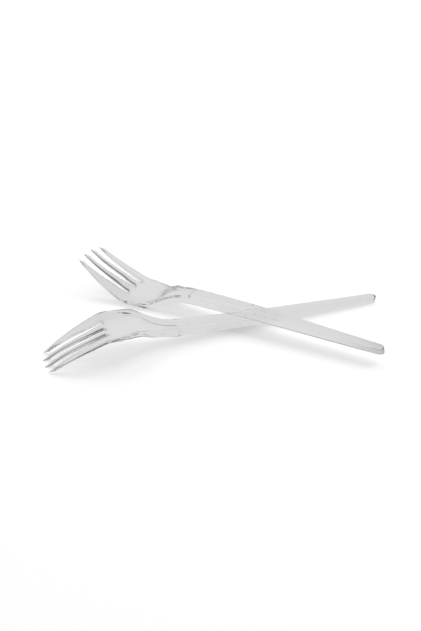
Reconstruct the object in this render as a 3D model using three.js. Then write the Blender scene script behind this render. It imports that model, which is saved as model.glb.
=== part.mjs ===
// Two clear plastic table forks, moulded alike and lying crossed on a table.
// One lies face down, and the other lies face up across its handle.
// Millimetres, +Z up. In a fork's own frame X runs from the tine tips to the handle end,
// Y goes across, and Z = 0 is the flat face of the handle.

import * as THREE from 'three';

// Head and tines
const forkLength = 180;
const slotEnd = 32.4;            // tips to the closed end of each slot
const slotRadius = 1.15;         // round end of a slot
const slotMouth = 2.0;           // half width of a slot where the tine points begin
const tipPitch = 6.34;           // tine to tine at the tips
const rootPitch = 6.43;          // slot to slot at the closed ends
const pointLength = 3.2;         // sharpened end of each tine
const pointBevel = 1.1;          // how far the face drops over the point
const tipBlunt = 0.22;           // width left at the tip, as a share of the tine
const outerTineSetback = 1.0;    // the two outer tines are this much shorter
const crown = -0.0098;           // the face falls away to both sides: z = crown * y * y

// Neck and handle
const handleRadius = 2.75;       // round end of the handle
const endSpread = 67.5;          // degrees to each side that the columns fan out round the end
const endRowGap = 1.4;           // between the level rows that run up to the round end
const wallDraft = 0.6;           // the face is narrower than the open side, on each side
const innerDraft = 0.4;          // slope of the wall inside the channel
const webThickness = 1.35;       // floor of the channel
const grooveDepth = 0.8;         // hollow in the face of the neck
const neckWall = 5.0;            // wall height at the neck
const endWall = 3.0;             // wall height at the handle end

// Where the forms of the neck begin and end, as distances from the tips
const neckRange = [36, 60];      // the walls grow to their full height
const channelRange = [44, 57];   // the plate thins to the web between them
const wallsFound = 46;           // from here on the columns follow the walls
const grooveRise = [43, 53];     // the hollow in the face starts gently
const grooveFade = [68, 71];     // and ends in a step across the face
const crownRise = [-4, 26];      // the crown of the face grows over the tines
const crownFade = [30, 85];      // and flattens along the neck

// Outlines as [distance from the tips, value]
const faceLine = [[0, 5.3], [10, 0], [22, -4.7], [34, -8.3], [46, -8.2], [57, -3.9], [68, -1.4],
  [88, -0.6], [115, 0], [forkLength, 0]];
const halfWidthLine = [[0, 9.9], [12, 11.9], [25, 13.6], [38, 14.6], [46, 13.2], [53, 9.6],
  [62, 5.5], [72, 4.95], [92, 4.8], [125, 4.0], [forkLength, handleRadius]];
const plateLine = [[0, 1.4], [12, 1.8], [30, 2.1], [forkLength, 2.1]];
const wallLine = [[32, 3.2], [40, 3.9], [46, 3.5], [50, 2.1], [54, 1.2], [58, 1.0], [66, 1.15],
  [forkLength, 1.25]];

// How the pair lies: place of the tips, turn on the table, pitch and roll in degrees
const lowerPose = { x: -84.1, y: -40.0, turn: 15.6, roll: 180 };
const upperPose = { x: -67.5, y: 45.2, turn: -32.6, pitch: 1.74, roll: -1.5 };

const clearPlastic = new THREE.MeshStandardMaterial({
  name: 'clear_plastic', color: 0xdfe2e2, roughness: 0.12, metalness: 0,
  transparent: true, opacity: 0.45, side: THREE.DoubleSide,
});

const { lerp, smoothstep, degToRad } = THREE.MathUtils;

// Smooth curve through the points, as a function of the first coordinate. It never swings
// past a point: a stretch between two equal values is straight.
function curveThrough(points) {
  const rises = points.slice(1).map(([x, y], i) => (y - points[i][1]) / (x - points[i][0]));
  const slopes = points.map((point, i) => {
    const before = rises[Math.max(i - 1, 0)];
    const after = rises[Math.min(i, rises.length - 1)];
    return before * after > 0 ? 2 * before * after / (before + after) : 0;
  });
  return (at) => {
    let i = 0;
    while (i < points.length - 2 && at > points[i + 1][0]) i += 1;
    const [x0, y0] = points[i];
    const [x1, y1] = points[i + 1];
    const span = x1 - x0;
    const t = (at - x0) / span;
    const s = 1 - t;
    return y0 * s * s * (1 + 2 * t) + y1 * t * t * (1 + 2 * s)
      + span * t * s * (slopes[i] * s - slopes[i + 1] * t);
  };
}

const faceHeight = curveThrough(faceLine);
const halfWidth = curveThrough(halfWidthLine);
const plateThickness = curveThrough(plateLine);
const wallWidth = curveThrough(wallLine);
const neckShare = (x) => smoothstep(x, ...neckRange);

function wallHeight(x) {
  const along = Math.max(0, (x - neckRange[1]) / (forkLength - neckRange[1]));
  return lerp(plateThickness(x), lerp(neckWall, endWall, along), neckShare(x));
}

function crownAt(x) {
  return crown * smoothstep(x, ...crownRise) * (1 - smoothstep(x, ...crownFade));
}

function grooveAt(x) {
  return grooveDepth * smoothstep(x, ...grooveRise) * (1 - smoothstep(x, ...grooveFade));
}

// Behind the bowl the plate thins to the web, which follows the groove
function channelDepth(x) {
  const web = grooveAt(x) + webThickness;
  return lerp(plateThickness(x), web, smoothstep(x, ...channelRange));
}

// Columns run lengthwise and are numbered outwards from the middle, -last to last.
// Column 11 is the outer edge, 10 and 9 are the two edges of the channel wall.
const lastColumn = 11;
const rimColumn = 10;
const channelColumn = 9;
// Angles of the slots' round ends at their columns, in degrees
const slotColumns = { 0: 90, 1: 45, 2: 0, 4: 0, 5: 45, 6: 90, 7: 45, 8: 0 };
const tineColumns = [[-11, -8], [-4, -2], [2, 4], [8, 11]];
const rowsBehindPoint = 10;      // from the end of a tine's point to its root
const outerShares = [0.5, 0.82]; // of the way from the outer slot to the edge

function slotCentre(x) {
  return lerp(tipPitch, rootPitch, x / slotEnd);
}

// Half width of a slot, which narrows evenly towards its closed end
function slotHalfWidth(x) {
  return lerp(slotMouth, slotRadius, (x - pointLength) / (slotEnd - slotRadius - pointLength));
}

function headColumn(column, x) {
  const slot = slotHalfWidth(Math.min(x, slotEnd - slotRadius));
  const centre = slotCentre(Math.min(x, slotEnd));
  const inner = slot * Math.SQRT1_2;
  const edge = halfWidth(x);
  const beside = centre + slot;
  return [0, inner, slot, centre / 2, centre - slot, centre - inner, centre, centre + inner,
    beside, ...outerShares.map((share) => lerp(beside, edge, share)), edge][column];
}

function handleColumn(column, x) {
  const inner = halfWidth(x) - wallWidth(x);
  if (column === lastColumn) return halfWidth(x);
  return column === rimColumn ? inner + innerDraft : inner * column / channelColumn;
}

// Place of a column across the fork, with the palm drawn in towards the neck
function columnAt(column, x) {
  const k = Math.abs(column);
  const drawIn = x > slotEnd ? halfWidth(x) / halfWidth(slotEnd) : 1;
  const head = headColumn(k, Math.min(x, slotEnd)) * drawIn;
  return Math.sign(column) * lerp(head, handleColumn(k, x), smoothstep(x, slotEnd, wallsFound));
}

// A grid point keeps its place seen from above, and how far the face and the open side
// lie above and below the face line there.
function gridPoint(x, y, drop = 0, depth = plateThickness(x)) {
  return { x, y, drop, depth };
}

// One tine from its tip to the row where the palm begins. Step 1 is the end of the point.
function tineRows(first, last) {
  const outer = Math.abs(first + last) > lastColumn;
  const start = outer ? outerTineSetback : 0;
  const root = slotEnd - slotRadius;
  const steps = [0, 0.5, 1];
  for (let i = 1; i < rowsBehindPoint; i += 1) {
    steps.push(1 + (root / pointLength - 1) * i / rowsBehindPoint);
  }
  return steps.map((step) => {
    const x = start + (root - start) * step * pointLength / root;
    const middle = (columnAt(first, x) + columnAt(last, x)) / 2;
    const width = lerp(tipBlunt, 1, Math.min(step, 1));
    const row = [];
    for (let k = first; k <= last; k += 1) {
      const y = middle + (columnAt(k, x) - middle) * width;
      row.push(gridPoint(x, y, pointBevel * Math.max(0, 1 - step)));
    }
    return row;
  });
}

// First row of the palm: level along the tines, round at the slot ends
function palmEdgeRow() {
  const row = [];
  for (let k = -lastColumn; k <= lastColumn; k += 1) {
    const angle = degToRad(slotColumns[Math.abs(k)] ?? 0);
    const x = slotEnd - slotRadius + slotRadius * Math.sin(angle);
    row.push(gridPoint(x, columnAt(k, slotEnd - slotRadius)));
  }
  return row;
}

// A level row of the palm, neck or handle
function bodyRow(x) {
  const row = [];
  for (let k = -lastColumn; k <= lastColumn; k += 1) {
    const inside = Math.abs(k) <= channelColumn;
    const drop = inside ? grooveAt(x) : 0;
    row.push(gridPoint(x, columnAt(k, x), drop, inside ? channelDepth(x) : wallHeight(x)));
  }
  return row;
}

// The wall turns round the handle end: rows 2 and 1 from the end are the wall's two inside
// edges, row 0 is the outer edge, and the outer columns bend into them.
function endRow(fromEnd) {
  const centre = forkLength - handleRadius;
  const inner = handleRadius - wallWidth(forkLength);
  const radii = [handleRadius, inner + innerDraft, inner];
  const row = [];
  for (let k = -lastColumn; k <= lastColumn; k += 1) {
    const track = lastColumn - Math.abs(k);
    const side = Math.sign(k);
    const ring = Math.min(track, fromEnd);
    const behind = fromEnd - track;
    const angle = behind > 0 ? side * 90 : endSpread * k / (lastColumn - fromEnd);
    const x = centre + radii[ring] * Math.cos(degToRad(angle)) - Math.max(0, behind - 1) * endRowGap;
    const wall = ring < 2;
    row.push(gridPoint(x, radii[ring] * Math.sin(degToRad(angle)), 0,
      wall ? wallHeight(x) : webThickness));
  }
  return row;
}

const bodyStations = [34.6, 37, 40, 43, 46, 49, 52, 54.5, 57, 59.5, 62, 65, 68, 69.5, 71,
  75, 81, 88, 97, 106, 115, 128, 141, 154, 165, 173];

// Closed solid from patches of rows: a face, an open side, and walls along the free edges
function solidFromPatches(patches) {
  const points = new Map();
  const positions = [];
  const faces = [];
  const edges = new Map();

  function vertexOf(point) {
    const key = `${point.x.toFixed(4)}_${point.y.toFixed(4)}`;
    if (!points.has(key)) {
      points.set(key, positions.length / 3);
      const level = faceHeight(point.x) + crownAt(point.x) * point.y * point.y;
      const draft = 1 - wallDraft * neckShare(point.x) / halfWidth(point.x);
      const endCentre = forkLength - handleRadius;
      const faceX = point.x > endCentre ? endCentre + (point.x - endCentre) * draft : point.x;
      positions.push(faceX, point.y * draft, level - point.drop);
      positions.push(point.x, point.y, level - point.depth);
    }
    return points.get(key);
  }

  for (const rows of patches) {
    for (let i = 0; i + 1 < rows.length; i += 1) {
      for (let j = 0; j + 1 < rows[i].length; j += 1) {
        const corners = [rows[i][j], rows[i + 1][j], rows[i + 1][j + 1], rows[i][j + 1]];
        const [a, b, c, d] = corners.map(vertexOf);
        faces.push(a, b, c, a, c, d);
        faces.push(a + 1, c + 1, b + 1, a + 1, d + 1, c + 1);
        for (const [from, to] of [[a, b], [b, c], [c, d], [d, a]]) {
          if (!edges.delete(`${to}_${from}`)) edges.set(`${from}_${to}`, [from, to]);
        }
      }
    }
  }
  for (const [from, to] of edges.values()) {
    faces.push(from, from + 1, to + 1, from, to + 1, to);
  }

  const geometry = new THREE.BufferGeometry();
  geometry.setAttribute('position', new THREE.Float32BufferAttribute(positions, 3));
  geometry.setIndex(faces);
  geometry.computeVertexNormals();
  return geometry;
}

function forkGeometry() {
  const palmEdge = palmEdgeRow();
  const body = [palmEdge, ...bodyStations.map(bodyRow), endRow(2), endRow(1), endRow(0)];
  const tines = tineColumns.map(([first, last]) => {
    const root = palmEdge.slice(first + lastColumn, last + lastColumn + 1);
    return [...tineRows(first, last), root];
  });
  return solidFromPatches([body, ...tines]);
}

// Lay a fork at its place on the table, resting on its lowest point
function layFork(name, pose) {
  const fork = new THREE.Mesh(forkGeometry(), clearPlastic);
  fork.name = name;
  fork.rotation.order = 'ZYX';
  fork.rotation.set(degToRad(pose.roll), degToRad(pose.pitch), degToRad(pose.turn));
  fork.position.set(pose.x, pose.y, 0);
  fork.updateMatrixWorld(true);
  fork.position.z = -new THREE.Box3().setFromObject(fork, true).min.z;
  return fork;
}

// Face down, the tine tips and the handle end both touch the table
const tipHeight = faceHeight(0) - pointBevel;
const lowerPitch = THREE.MathUtils.radToDeg(Math.atan(tipHeight / forkLength));
const lowerFork = layFork('lower_fork', { ...lowerPose, pitch: lowerPitch });
const upperFork = layFork('upper_fork', upperPose);

// The frame's origin is at the middle of the pair, on the table
const pair = new THREE.Group();
pair.add(lowerFork, upperFork);
pair.updateMatrixWorld(true);
const middle = new THREE.Box3().setFromObject(pair, true).getCenter(new THREE.Vector3());
for (const fork of pair.children) {
  fork.position.x -= middle.x;
  fork.position.y -= middle.y;
}

export default pair;
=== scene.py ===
import math

import bpy
from mathutils import Euler, Matrix, Vector


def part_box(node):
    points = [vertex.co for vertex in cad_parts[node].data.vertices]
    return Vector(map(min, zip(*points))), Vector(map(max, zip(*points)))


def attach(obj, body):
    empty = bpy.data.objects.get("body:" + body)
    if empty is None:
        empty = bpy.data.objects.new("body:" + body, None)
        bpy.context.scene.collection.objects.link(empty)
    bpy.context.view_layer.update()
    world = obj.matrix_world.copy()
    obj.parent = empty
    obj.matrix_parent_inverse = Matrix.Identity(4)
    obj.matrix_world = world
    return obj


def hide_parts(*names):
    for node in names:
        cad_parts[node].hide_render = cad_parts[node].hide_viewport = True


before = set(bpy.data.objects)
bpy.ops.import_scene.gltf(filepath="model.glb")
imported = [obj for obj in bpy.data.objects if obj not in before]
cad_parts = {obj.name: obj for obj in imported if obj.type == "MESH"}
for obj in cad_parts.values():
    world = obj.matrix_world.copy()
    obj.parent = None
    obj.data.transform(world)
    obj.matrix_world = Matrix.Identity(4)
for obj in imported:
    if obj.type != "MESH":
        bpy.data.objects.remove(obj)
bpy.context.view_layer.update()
mm = 0.001

# One fork in millimetres: X from the tine tips, Y across, Z up from the face of the handle.
# Each ...Line is a list of (X, value), and each ...Range, ...Rise or ...Fade is a stretch of X.
forkShape = {
    "length": 180,
    "slotEnd": 32.4,  # from the tips to the closed end of a slot
    "slotRadius": 1.15,
    "slotMouth": 2.0,  # half the width where the tine points begin
    "tipPitch": 6.34,
    "rootPitch": 6.43,
    "pointLength": 3.2,
    "pointBevel": 1.1,
    "tipBlunt": 0.22,  # share of the tine's width left at its tip
    "outerTineSetback": 1.0,
    "crown": -0.0098,  # the face falls by this times the distance from the middle squared
    "crownRise": (-4, 26),
    "crownFade": (30, 85),
    "handleRadius": 2.75,
    "wallDraft": 0.6,
    "innerDraft": 0.4,
    "wallsFound": 46,  # from here on the columns follow the walls
    "neckRange": (36, 60),
    "neckWall": 5.0,
    "endWall": 3.0,
    "webThickness": 1.35,
    "channelRange": (40, 60),  # both this and the groove start gently, so few lines show through
    "grooveDepth": 0.8,  # hollow in the face of the neck
    "grooveRise": (38, 57),
    "grooveFade": (68, 71),
    "faceLine": [(0, 5.3), (10, 0), (22, -4.7), (34, -8.3), (46, -8.2), (57, -3.9), (68, -1.4),
                 (88, -0.6), (115, 0), (180, 0)],
    "halfWidthLine": [(0, 9.9), (12, 11.9), (25, 13.6), (38, 14.6), (46, 13.2), (53, 9.6),
                      (62, 5.5), (72, 4.95), (92, 4.8), (125, 4.0), (180, 2.75)],
    "plateLine": [(0, 1.4), (12, 1.8), (30, 2.1), (180, 2.1)],
    "wallLine": [(32, 3.2), (40, 3.9), (46, 3.5), (50, 2.1), (54, 1.2), (58, 1.0), (66, 1.15),
                 (180, 1.25)],
    "edgeRadius": 0.28,
    "edgeSteps": 3,
    "edgeAngle": 48,  # degrees; gentler edges stay as they are
    "headRound": 0.75,  # the edges of the head are rounded nearly to the middle of the plate
    "headRoundFade": (44, 58),
    "headRoundShare": 0.46,
}

# How finely the fork is divided
forkGrid = {
    "slotSteps": 8,
    "innerTineSteps": 8,
    "outerTineSteps": 14,
    "pointSteps": [0, 0.33, 0.67, 1],
    "tineSteps": 22,
    "slotEndSteps": (0.08, 0.25, 0.5, 0.9),  # rows this far behind the ends of the slots
    "bodyStretches": [(34, 68, 1.15), (68, 71, 0.5), (71, 120, 2.5), (120, 172, 4)],
    "endSpread": 67.5,  # degrees to each side that the end rows fan out
    "endRowGap": 1.4,
    "jointDigits": 4,  # points alike to this many decimals are one
}


def curveThrough(points):
    # smooth curve without overshoot, as a function of the first coordinate
    rises = [(b[1] - a[1]) / (b[0] - a[0]) for a, b in zip(points, points[1:])]
    slopes = [rises[0]]
    for before, after in zip(rises, rises[1:]):
        slopes.append(0 if before * after <= 0 else 2 * before * after / (before + after))
    slopes.append(rises[-1])

    def valueAt(at):
        i = 0
        while i < len(points) - 2 and at > points[i + 1][0]:
            i += 1
        (x0, y0), (x1, y1) = points[i], points[i + 1]
        t = (at - x0) / (x1 - x0)
        s = 1 - t
        return (y0 * s * s * (1 + 2 * t) + y1 * t * t * (1 + 2 * s)
                + (x1 - x0) * t * s * (slopes[i] * s - slopes[i + 1] * t))

    return valueAt


def mix(a, b, t):
    return a + (b - a) * t


def easeBetween(at, start, end):
    t = min(1, max(0, (at - start) / (end - start)))
    return t * t * (3 - 2 * t)


shape = forkShape
faceHeight = curveThrough(shape["faceLine"])
halfWidth = curveThrough(shape["halfWidthLine"])
plateThickness = curveThrough(shape["plateLine"])
wallWidth = curveThrough(shape["wallLine"])
neckEnd = shape["neckRange"][1]
endCentre = shape["length"] - shape["handleRadius"]
slotRoot = shape["slotEnd"] - shape["slotRadius"]


def neckShare(x):
    return easeBetween(x, *shape["neckRange"])


def wallHeight(x):
    along = max(0, (x - neckEnd) / (shape["length"] - neckEnd))
    return mix(plateThickness(x), mix(shape["neckWall"], shape["endWall"], along), neckShare(x))


def crownAt(x):
    fade = 1 - easeBetween(x, *shape["crownFade"])
    return shape["crown"] * easeBetween(x, *shape["crownRise"]) * fade


def grooveAt(x):
    fade = 1 - easeBetween(x, *shape["grooveFade"])
    return shape["grooveDepth"] * easeBetween(x, *shape["grooveRise"]) * fade


def channelDepth(x):
    web = grooveAt(x) + shape["webThickness"]
    return mix(plateThickness(x), web, easeBetween(x, *shape["channelRange"]))


def slotHalf(x):
    along = (x - shape["pointLength"]) / (slotRoot - shape["pointLength"])
    return mix(shape["slotMouth"], shape["slotRadius"], along)


def slotCentre(x):
    along = min(x, shape["slotEnd"]) / shape["slotEnd"]
    return mix(shape["tipPitch"], shape["rootPitch"], along)


def closeToEnds(share):
    return (1 - math.cos(math.pi * share)) / 2


def buildColumns():
    # Columns run lengthwise, numbered outwards from the middle. Each is the name of its strip,
    # its share of the way across, and its angle on the round end of the slot.
    slotSteps = forkGrid["slotSteps"]
    innerSteps = forkGrid["innerTineSteps"]
    outerSteps = forkGrid["outerTineSteps"]
    middle = [("middleSlot", 0, 90 - 180 * i / slotSteps) for i in range(slotSteps // 2 + 1)]
    inner = [("innerTine", closeToEnds(i / innerSteps), 0) for i in range(1, innerSteps)]
    side = [("sideSlot", 0, 180 - 180 * i / slotSteps) for i in range(slotSteps + 1)]
    outer = [("outerTine", closeToEnds(i / outerSteps), 0) for i in range(1, outerSteps + 1)]
    return middle + inner + side + outer


columns = buildColumns()
lastColumn = len(columns) - 1
rimColumn = lastColumn - 1
channelColumn = lastColumn - 2
middleSlotEdge = forkGrid["slotSteps"] // 2
innerTineEdge = middleSlotEdge + forkGrid["innerTineSteps"]
outerTineEdge = innerTineEdge + forkGrid["slotSteps"]
tineColumns = [(-lastColumn, -outerTineEdge), (-innerTineEdge, -middleSlotEdge),
               (middleSlotEdge, innerTineEdge), (outerTineEdge, lastColumn)]


def headColumn(k, x):
    strip, share, angle = columns[k]
    half = slotHalf(min(x, slotRoot))
    centre = slotCentre(x)
    if strip == "middleSlot":
        return half * math.cos(math.radians(angle))
    if strip == "innerTine":
        return mix(half, centre - half, share)
    if strip == "sideSlot":
        return centre + half * math.cos(math.radians(angle))
    return mix(centre + half, halfWidth(x), share)


def handleColumn(k, x):
    inner = halfWidth(x) - wallWidth(x)
    if k == lastColumn:
        return halfWidth(x)
    return inner + shape["innerDraft"] if k == rimColumn else inner * k / channelColumn


def columnAt(column, x):
    k = abs(column)
    slotEnd = shape["slotEnd"]
    drawIn = halfWidth(x) / halfWidth(slotEnd) if x > slotEnd else 1
    head = headColumn(k, min(x, slotEnd)) * drawIn
    across = mix(head, handleColumn(k, x), easeBetween(x, slotEnd, shape["wallsFound"]))
    return math.copysign(across, column)


def edgeDistance(x, y):
    # from a point of the head to the nearest edge of the outline or of a slot
    near = halfWidth(x) - abs(y)
    for centre in (0, slotCentre(x)):
        across = abs(abs(y) - centre)
        near = min(near, across - slotHalf(x) if x <= slotRoot
                   else math.hypot(x - slotRoot, across) - shape["slotRadius"])
    return max(0, near)


def rounding(x, near, thickness):
    # how far a rounded edge has left the face at this distance from it
    fade = 1 - easeBetween(x, *shape["headRoundFade"])
    radius = fade * min(shape["headRound"], shape["headRoundShare"] * thickness)
    return radius - math.sqrt(radius ** 2 - (radius - near) ** 2) if near < radius else 0


def gridPoint(x, y, drop=0.0, depth=None, near=None):
    # drop and depth are how far the upper and the lower face lie below the level of the fork
    depth = plateThickness(x) if depth is None else depth
    near = edgeDistance(x, y) if near is None else near
    return (x, y, drop, depth, rounding(x, near, min(plateThickness(x), depth - drop)))


def tineRows(first, last):
    # steps are counted in lengths of the point, from the tip to the root of the tine
    start = shape["outerTineSetback"] if abs(first + last) > lastColumn else 0
    count = forkGrid["tineSteps"]
    beyondPoint = slotRoot / shape["pointLength"] - 1
    steps = forkGrid["pointSteps"] + [1 + beyondPoint * i / count for i in range(1, count)]
    rows = []
    for step in steps:
        x = start + (slotRoot - start) * step * shape["pointLength"] / slotRoot
        middle = (columnAt(first, x) + columnAt(last, x)) / 2
        width = mix(shape["tipBlunt"], 1, min(step, 1))
        drop = shape["pointBevel"] * max(0, 1 - step)
        across = [middle + (columnAt(k, x) - middle) * width for k in range(first, last + 1)]
        rows.append([gridPoint(x, y, drop, near=min(y - across[0], across[-1] - y))
                     for y in across])
    return rows


def palmEdgeRow(behind=0.0):
    # straight across the roots of the tines and round the slot ends, or this far behind
    row = []
    for k in range(-lastColumn, lastColumn + 1):
        angle = math.radians(columns[abs(k)][2])
        x = slotRoot + shape["slotRadius"] * math.sin(angle) + behind
        row.append(gridPoint(x, columnAt(k, slotRoot)))
    return row


def bodyRow(x):
    row = []
    for k in range(-lastColumn, lastColumn + 1):
        inside = abs(k) <= channelColumn
        row.append(gridPoint(x, columnAt(k, x), grooveAt(x) if inside else 0,
                             channelDepth(x) if inside else wallHeight(x)))
    return row


def endRow(fromEnd):
    # the wall turns round the handle end, and the outer columns bend into it
    inner = shape["handleRadius"] - wallWidth(shape["length"])
    radii = [shape["handleRadius"], inner + shape["innerDraft"], inner]
    row = []
    for k in range(-lastColumn, lastColumn + 1):
        track = lastColumn - abs(k)
        ring = min(track, fromEnd)
        behind = fromEnd - track
        fan = forkGrid["endSpread"] * k / (lastColumn - fromEnd)
        angle = math.radians(math.copysign(90, k) if behind > 0 else fan)
        x = endCentre + radii[ring] * math.cos(angle) - max(0, behind - 1) * forkGrid["endRowGap"]
        row.append(gridPoint(x, radii[ring] * math.sin(angle), 0,
                             wallHeight(x) if ring < 2 else shape["webThickness"]))
    return row


def bodyRows():
    rows = []
    for start, end, step in forkGrid["bodyStretches"]:
        count = max(1, round((end - start) / step))
        rows += [bodyRow(mix(start, end, i / count)) for i in range(count)]
    return rows + [bodyRow(end)]


def forkMesh(name):
    points, verts, faces, openEdges = {}, [], [], {}

    def vertexOf(point):
        # makes the upper and the lower vertex, and gives the number of the upper one
        x, y, drop, depth, rounded = point
        key = (round(x, forkGrid["jointDigits"]), round(y, forkGrid["jointDigits"]))
        if key not in points:
            points[key] = len(verts)
            level = faceHeight(x) + crownAt(x) * y * y
            draft = 1 - shape["wallDraft"] * neckShare(x) / halfWidth(x)
            faceX = endCentre + (x - endCentre) * draft if x > endCentre else x
            verts.append(Vector((faceX, y * draft, level - drop - rounded)) * mm)
            verts.append(Vector((x, y, level - depth + rounded)) * mm)
        return points[key]

    palmEdge = palmEdgeRow()
    behindSlots = [palmEdgeRow(step) for step in forkGrid["slotEndSteps"]]
    patches = [[palmEdge] + behindSlots + bodyRows() + [endRow(2), endRow(1), endRow(0)]]
    for first, last in tineColumns:
        root = palmEdge[first + lastColumn:last + lastColumn + 1]
        patches.append(tineRows(first, last) + [root])
    for rows in patches:
        for near, far in zip(rows, rows[1:]):
            for j in range(len(near) - 1):
                ring = [vertexOf(p) for p in (near[j], far[j], far[j + 1], near[j + 1])]
                faces.append(ring)
                faces.append([v + 1 for v in reversed(ring)])
                for start, end in zip(ring, ring[1:] + ring[:1]):
                    if openEdges.pop((end, start), None) is None:
                        openEdges[start, end] = True
    # a side wall closes the solid along every edge that only one face has
    for start, end in openEdges:
        faces.append([start, start + 1, end + 1, end])
    mesh = bpy.data.meshes.new(name)
    mesh.from_pydata([tuple(v) for v in verts], [], faces)
    mesh.polygons.foreach_set("use_smooth", [True] * len(mesh.polygons))
    mesh.update()
    return mesh


# How each fork lies, in degrees. The lower one leans on its tine tips and its handle end.
tipLean = math.degrees(math.atan((faceHeight(0) - shape["pointBevel"]) / shape["length"]))
forkPoses = {
    "lowerFork": {"node": "lower_fork", "turn": 15.6, "roll": 180, "pitch": tipLean},
    "upperFork": {"node": "upper_fork", "turn": -32.6, "roll": -1.5, "pitch": 1.74},
}


def layFork(name, pose, material):
    mesh = forkMesh(name)
    turn = Euler([math.radians(pose[a]) for a in ("roll", "pitch", "turn")])
    mesh.transform(turn.to_matrix().to_4x4())
    # the middle and the lowest point go where the solid has them
    low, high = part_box(pose["node"])
    ends = [[pick(v.co[i] for v in mesh.vertices) for pick in (min, max)] for i in range(3)]
    shift = [(low[i] + high[i]) / 2 - sum(ends[i]) / 2 for i in range(2)]
    shift.append(low[2] - ends[2][0])
    mesh.transform(Matrix.Translation(shift))
    fork = bpy.data.objects.new(name, mesh)
    bpy.context.scene.collection.objects.link(fork)
    bevel = fork.modifiers.new("roundedEdges", "BEVEL")
    bevel.width = shape["edgeRadius"] * mm
    bevel.segments = shape["edgeSteps"]
    bevel.limit_method = "ANGLE"
    bevel.angle_limit = math.radians(shape["edgeAngle"])
    fork.modifiers.new("evenShading", "WEIGHTED_NORMAL").keep_sharp = False
    mesh.materials.append(material)
    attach(fork, "root")
    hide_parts(pose["node"])
    print(name, "has", len(mesh.polygons), "faces before its edges are rounded")


def rampNode(nodes, links, value, start, end, eased=True):
    # value goes over the first pair and comes out over the second
    ramp = nodes.new("ShaderNodeMapRange")
    ramp.interpolation_type = "SMOOTHSTEP" if eased else "LINEAR"
    ramp.inputs["From Min"].default_value, ramp.inputs["From Max"].default_value = start
    ramp.inputs["To Min"].default_value, ramp.inputs["To Max"].default_value = end
    links.new(value, ramp.inputs["Value"])
    return ramp.outputs["Result"]


def colourNode(nodes, links, factor, first, second):
    # first is a colour or a socket, second is a colour
    blend = nodes.new("ShaderNodeMix")
    blend.data_type = "RGBA"
    links.new(factor, blend.inputs["Factor"])
    if isinstance(first, tuple):
        blend.inputs["A"].default_value = first
    else:
        links.new(first, blend.inputs["A"])
    blend.inputs["B"].default_value = second
    return blend.outputs["Result"]


def mathNode(nodes, links, operation, first, second):
    node = nodes.new("ShaderNodeMath")
    node.operation = operation
    links.new(first, node.inputs[0])
    links.new(second, node.inputs[1])
    return node.outputs[0]


def shaderMix(nodes, links, factor, first, second):
    blend = nodes.new("ShaderNodeMixShader")
    links.new(factor, blend.inputs[0])
    links.new(first.outputs[0], blend.inputs[1])
    links.new(second.outputs[0], blend.inputs[2])
    return blend.outputs[0]


plasticLook = {
    "tint": (0.96, 0.962, 0.962, 1),
    "rimShade": (0.12, 0.12, 0.12, 1),  # painted shade: the colour darkens at grazing angles to give dark outlines, where light also goes a long way inside
    "rimFrom": (0.62, 0.96),
    "rimBlend": 0.5,
    "ior": 1.59,
    "clear": 1.0,  # share that lets light through; the rest is milky
    "roughness": (0.03, 0.09),  # smooth, hazed
    "hazeFrom": (0.35, 0.7),
    "flowScale": 60,
    "flowDetail": 4,
    "flowBump": 0.02,
    "flowDepth": 0.5 * mm,
    "shadow": (0.76, 0.76, 0.76, 1),  # what each surface leaves of a lamp's light
}


def clearPlastic():
    look = plasticLook
    material = bpy.data.materials.new("clearPlastic")
    material.use_nodes = True
    nodes, links = material.node_tree.nodes, material.node_tree.links
    shader = nodes["Principled BSDF"]
    shader.inputs["IOR"].default_value = look["ior"]
    shader.inputs["Transmission Weight"].default_value = look["clear"]
    # painted shade: the base colour goes dark towards grazing angles, so the outlines show dark
    grazing = nodes.new("ShaderNodeLayerWeight")
    grazing.inputs["Blend"].default_value = look["rimBlend"]
    rimShade = rampNode(nodes, links, grazing.outputs["Facing"], look["rimFrom"], (0, 1))
    tone = colourNode(nodes, links, rimShade, look["tint"], look["rimShade"])
    links.new(tone, shader.inputs["Base Color"])
    # faint flow marks of the moulding, in the gloss and in the surface
    place = nodes.new("ShaderNodeTexCoord")
    flow = nodes.new("ShaderNodeTexNoise")
    flow.inputs["Scale"].default_value = look["flowScale"]
    flow.inputs["Detail"].default_value = look["flowDetail"]
    links.new(place.outputs["Object"], flow.inputs["Vector"])
    haze = rampNode(nodes, links, flow.outputs["Fac"], look["hazeFrom"], look["roughness"],
                    eased=False)
    links.new(haze, shader.inputs["Roughness"])
    bump = nodes.new("ShaderNodeBump")
    bump.inputs["Strength"].default_value = look["flowBump"]
    bump.inputs["Distance"].default_value = look["flowDepth"]
    links.new(flow.outputs["Fac"], bump.inputs["Height"])
    links.new(bump.outputs["Normal"], shader.inputs["Normal"])
    # the lamps shine through to the floor, so the shadow stays soft and pale
    through = nodes.new("ShaderNodeBsdfTransparent")
    through.inputs["Color"].default_value = look["shadow"]
    rays = nodes.new("ShaderNodeLightPath").outputs
    passing = mathNode(nodes, links, "MAXIMUM", rays["Is Shadow Ray"], rays["Is Diffuse Ray"])
    links.new(shaderMix(nodes, links, passing, shader, through),
              nodes["Material Output"].inputs["Surface"])
    return material


print("forks")
plastic = clearPlastic()
for forkName, forkPose in forkPoses.items():
    layFork(forkName, forkPose, plastic)

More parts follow.
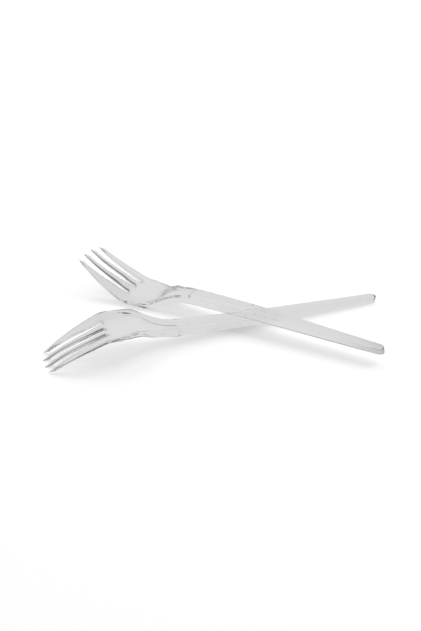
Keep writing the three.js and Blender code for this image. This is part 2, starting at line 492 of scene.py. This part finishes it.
# Floor, lamps and surroundings
studio = {
    "floorSize": 6,
    "floorColour": (0.7, 0.7, 0.7, 1),
    "floorLift": (0.29, 1.0),  # added for the camera only, near the forks and far from them
    "liftGrows": (0.3, 0.8),
    "floorThrough": (0.76, 0.76, 0.76, 1),  # the floor as the plastic shows it
    # painted dark: farther from the forks the floor is near black in reflections and through the
    # plastic
    "paintedDarkBeyond": (0.04, 0.04, 0.04, 1),
    "throughMiddle": (0, 0.05, 0),
    "throughFade": (0.09, 0.2),
    "lamps": {
        "sideSoftbox": {"place": (1.5, 0.9, 1.85), "size": 1.4, "power": 44.0},
        "backSoftbox": {"place": (-0.3, 1.8, 1.8), "size": 1.6, "power": 33.0},
    },
    "skyTop": (0.2, 0.2, 0.2, 1),
    "skyFront": (0.15, 0.15, 0.15, 1),
    "skyBack": (0.76, 0.76, 0.76, 1),
    "skySeen": (1, 1, 1, 1),
    "depthRange": (-0.4, 0.4),
    "heightRange": (0.62, 0.8),
}


def whiteFloor():
    material = bpy.data.materials.new("whiteFloor")
    material.use_nodes = True
    nodes, links = material.node_tree.nodes, material.node_tree.links
    nodes.clear()
    rays = nodes.new("ShaderNodeLightPath").outputs
    place = nodes.new("ShaderNodeTexCoord")
    away = nodes.new("ShaderNodeVectorMath")
    away.operation = "DISTANCE"
    away.inputs[1].default_value = studio["throughMiddle"]
    links.new(place.outputs["Object"], away.inputs[0])
    distance = away.outputs["Value"]
    # the camera sees the lit floor with its shadow, lifted to white
    lit = nodes.new("ShaderNodeBsdfDiffuse")
    lit.inputs["Color"].default_value = studio["floorColour"]
    grow = rampNode(nodes, links, distance, studio["liftGrows"], studio["floorLift"], eased=False)
    glow = nodes.new("ShaderNodeEmission")
    links.new(mathNode(nodes, links, "MULTIPLY", rays["Is Camera Ray"], grow),
              glow.inputs["Strength"])
    seen = nodes.new("ShaderNodeAddShader")
    links.new(lit.outputs[0], seen.inputs[0])
    links.new(glow.outputs[0], seen.inputs[1])
    # rays that come through or off the plastic meet an even tone instead of the shadow, and
    # farther out a painted dark that the plastic reflects and shows through
    even = nodes.new("ShaderNodeEmission")
    fade = rampNode(nodes, links, distance, studio["throughFade"], (0, 1))
    links.new(colourNode(nodes, links, fade, studio["floorThrough"], studio["paintedDarkBeyond"]),
              even.inputs["Color"])
    through = mathNode(nodes, links, "MAXIMUM", rays["Is Glossy Ray"],
                       rays["Is Transmission Ray"])
    out = nodes.new("ShaderNodeOutputMaterial")
    links.new(shaderMix(nodes, links, through, seen, even), out.inputs["Surface"])
    return material


def buildFloor():
    half = studio["floorSize"] / 2
    corners = [(-half, -half, 0), (half, -half, 0), (half, half, 0), (-half, half, 0)]
    mesh = bpy.data.meshes.new("floor")
    mesh.from_pydata(corners, [], [(0, 1, 2, 3)])
    mesh.materials.append(whiteFloor())
    floor = bpy.data.objects.new("floor", mesh)
    bpy.context.scene.collection.objects.link(floor)


def buildLamps():
    for name, how in studio["lamps"].items():
        lamp = bpy.data.lights.new(name, "AREA")
        lamp.shape = "SQUARE"
        lamp.size = how["size"]
        lamp.energy = how["power"]
        softbox = bpy.data.objects.new(name, lamp)
        softbox.location = how["place"]
        softbox.rotation_euler = Vector(how["place"]).to_track_quat("Z", "Y").to_euler()
        softbox.visible_glossy = False
        softbox.visible_transmission = False
        bpy.context.scene.collection.objects.link(softbox)


def buildSurroundings():
    # a dim room in front, a pale backdrop behind, a dim ceiling, and white for the camera
    world = bpy.data.worlds.new("surroundings")
    bpy.context.scene.world = world
    world.use_nodes = True
    nodes, links = world.node_tree.nodes, world.node_tree.links
    place = nodes.new("ShaderNodeTexCoord")
    split = nodes.new("ShaderNodeSeparateXYZ")
    links.new(place.outputs["Generated"], split.inputs[0])
    depth = rampNode(nodes, links, split.outputs["Y"], studio["depthRange"], (0, 1))
    height = rampNode(nodes, links, split.outputs["Z"], studio["heightRange"], (0, 1))
    walls = colourNode(nodes, links, depth, studio["skyFront"], studio["skyBack"])
    room = colourNode(nodes, links, height, walls, studio["skyTop"])
    rays = nodes.new("ShaderNodeLightPath").outputs
    shown = colourNode(nodes, links, rays["Is Camera Ray"], room, studio["skySeen"])
    links.new(shown, nodes["Background"].inputs["Color"])


print("studio")
buildFloor()
buildLamps()
buildSurroundings()

# The photograph's view
view = {
    "elevation": 31.06,  # degrees above the table
    "distance": 0.556,
    "aim": (-0.0018, 0.0002, 0),
    "roll": -2.51,
    "focalPixels": 1042,
    "imageWidth": 421,
    "sensorWidth": 36,
    "nearest": 0.01,
}


def buildCamera():
    data = bpy.data.cameras.new("camera")
    data.sensor_fit = "HORIZONTAL"
    data.sensor_width = view["sensorWidth"]
    data.lens = view["focalPixels"] * data.sensor_width / view["imageWidth"]
    data.clip_start = view["nearest"]
    camera = bpy.data.objects.new("camera", data)
    tilt = math.radians(view["elevation"])
    back = Vector((0, -math.cos(tilt), math.sin(tilt)))
    turn = back.to_track_quat("Z", "Y").to_matrix().to_4x4()
    place = Matrix.Translation(Vector(view["aim"]) + back * view["distance"])
    camera.matrix_world = place @ turn @ Matrix.Rotation(math.radians(view["roll"]), 4, "Z")
    bpy.context.scene.collection.objects.link(camera)
    bpy.context.scene.camera = camera


print("camera")
buildCamera()
bpy.context.scene.view_settings.view_transform = "Standard"

cycles = bpy.context.scene.cycles
lightBounces = 32  # light runs a long way inside the clear plastic
cycles.max_bounces = lightBounces
cycles.glossy_bounces = lightBounces
cycles.transmission_bounces = lightBounces
cycles.denoising_input_passes = "RGB"  # the other passes leave specks on clear plastic
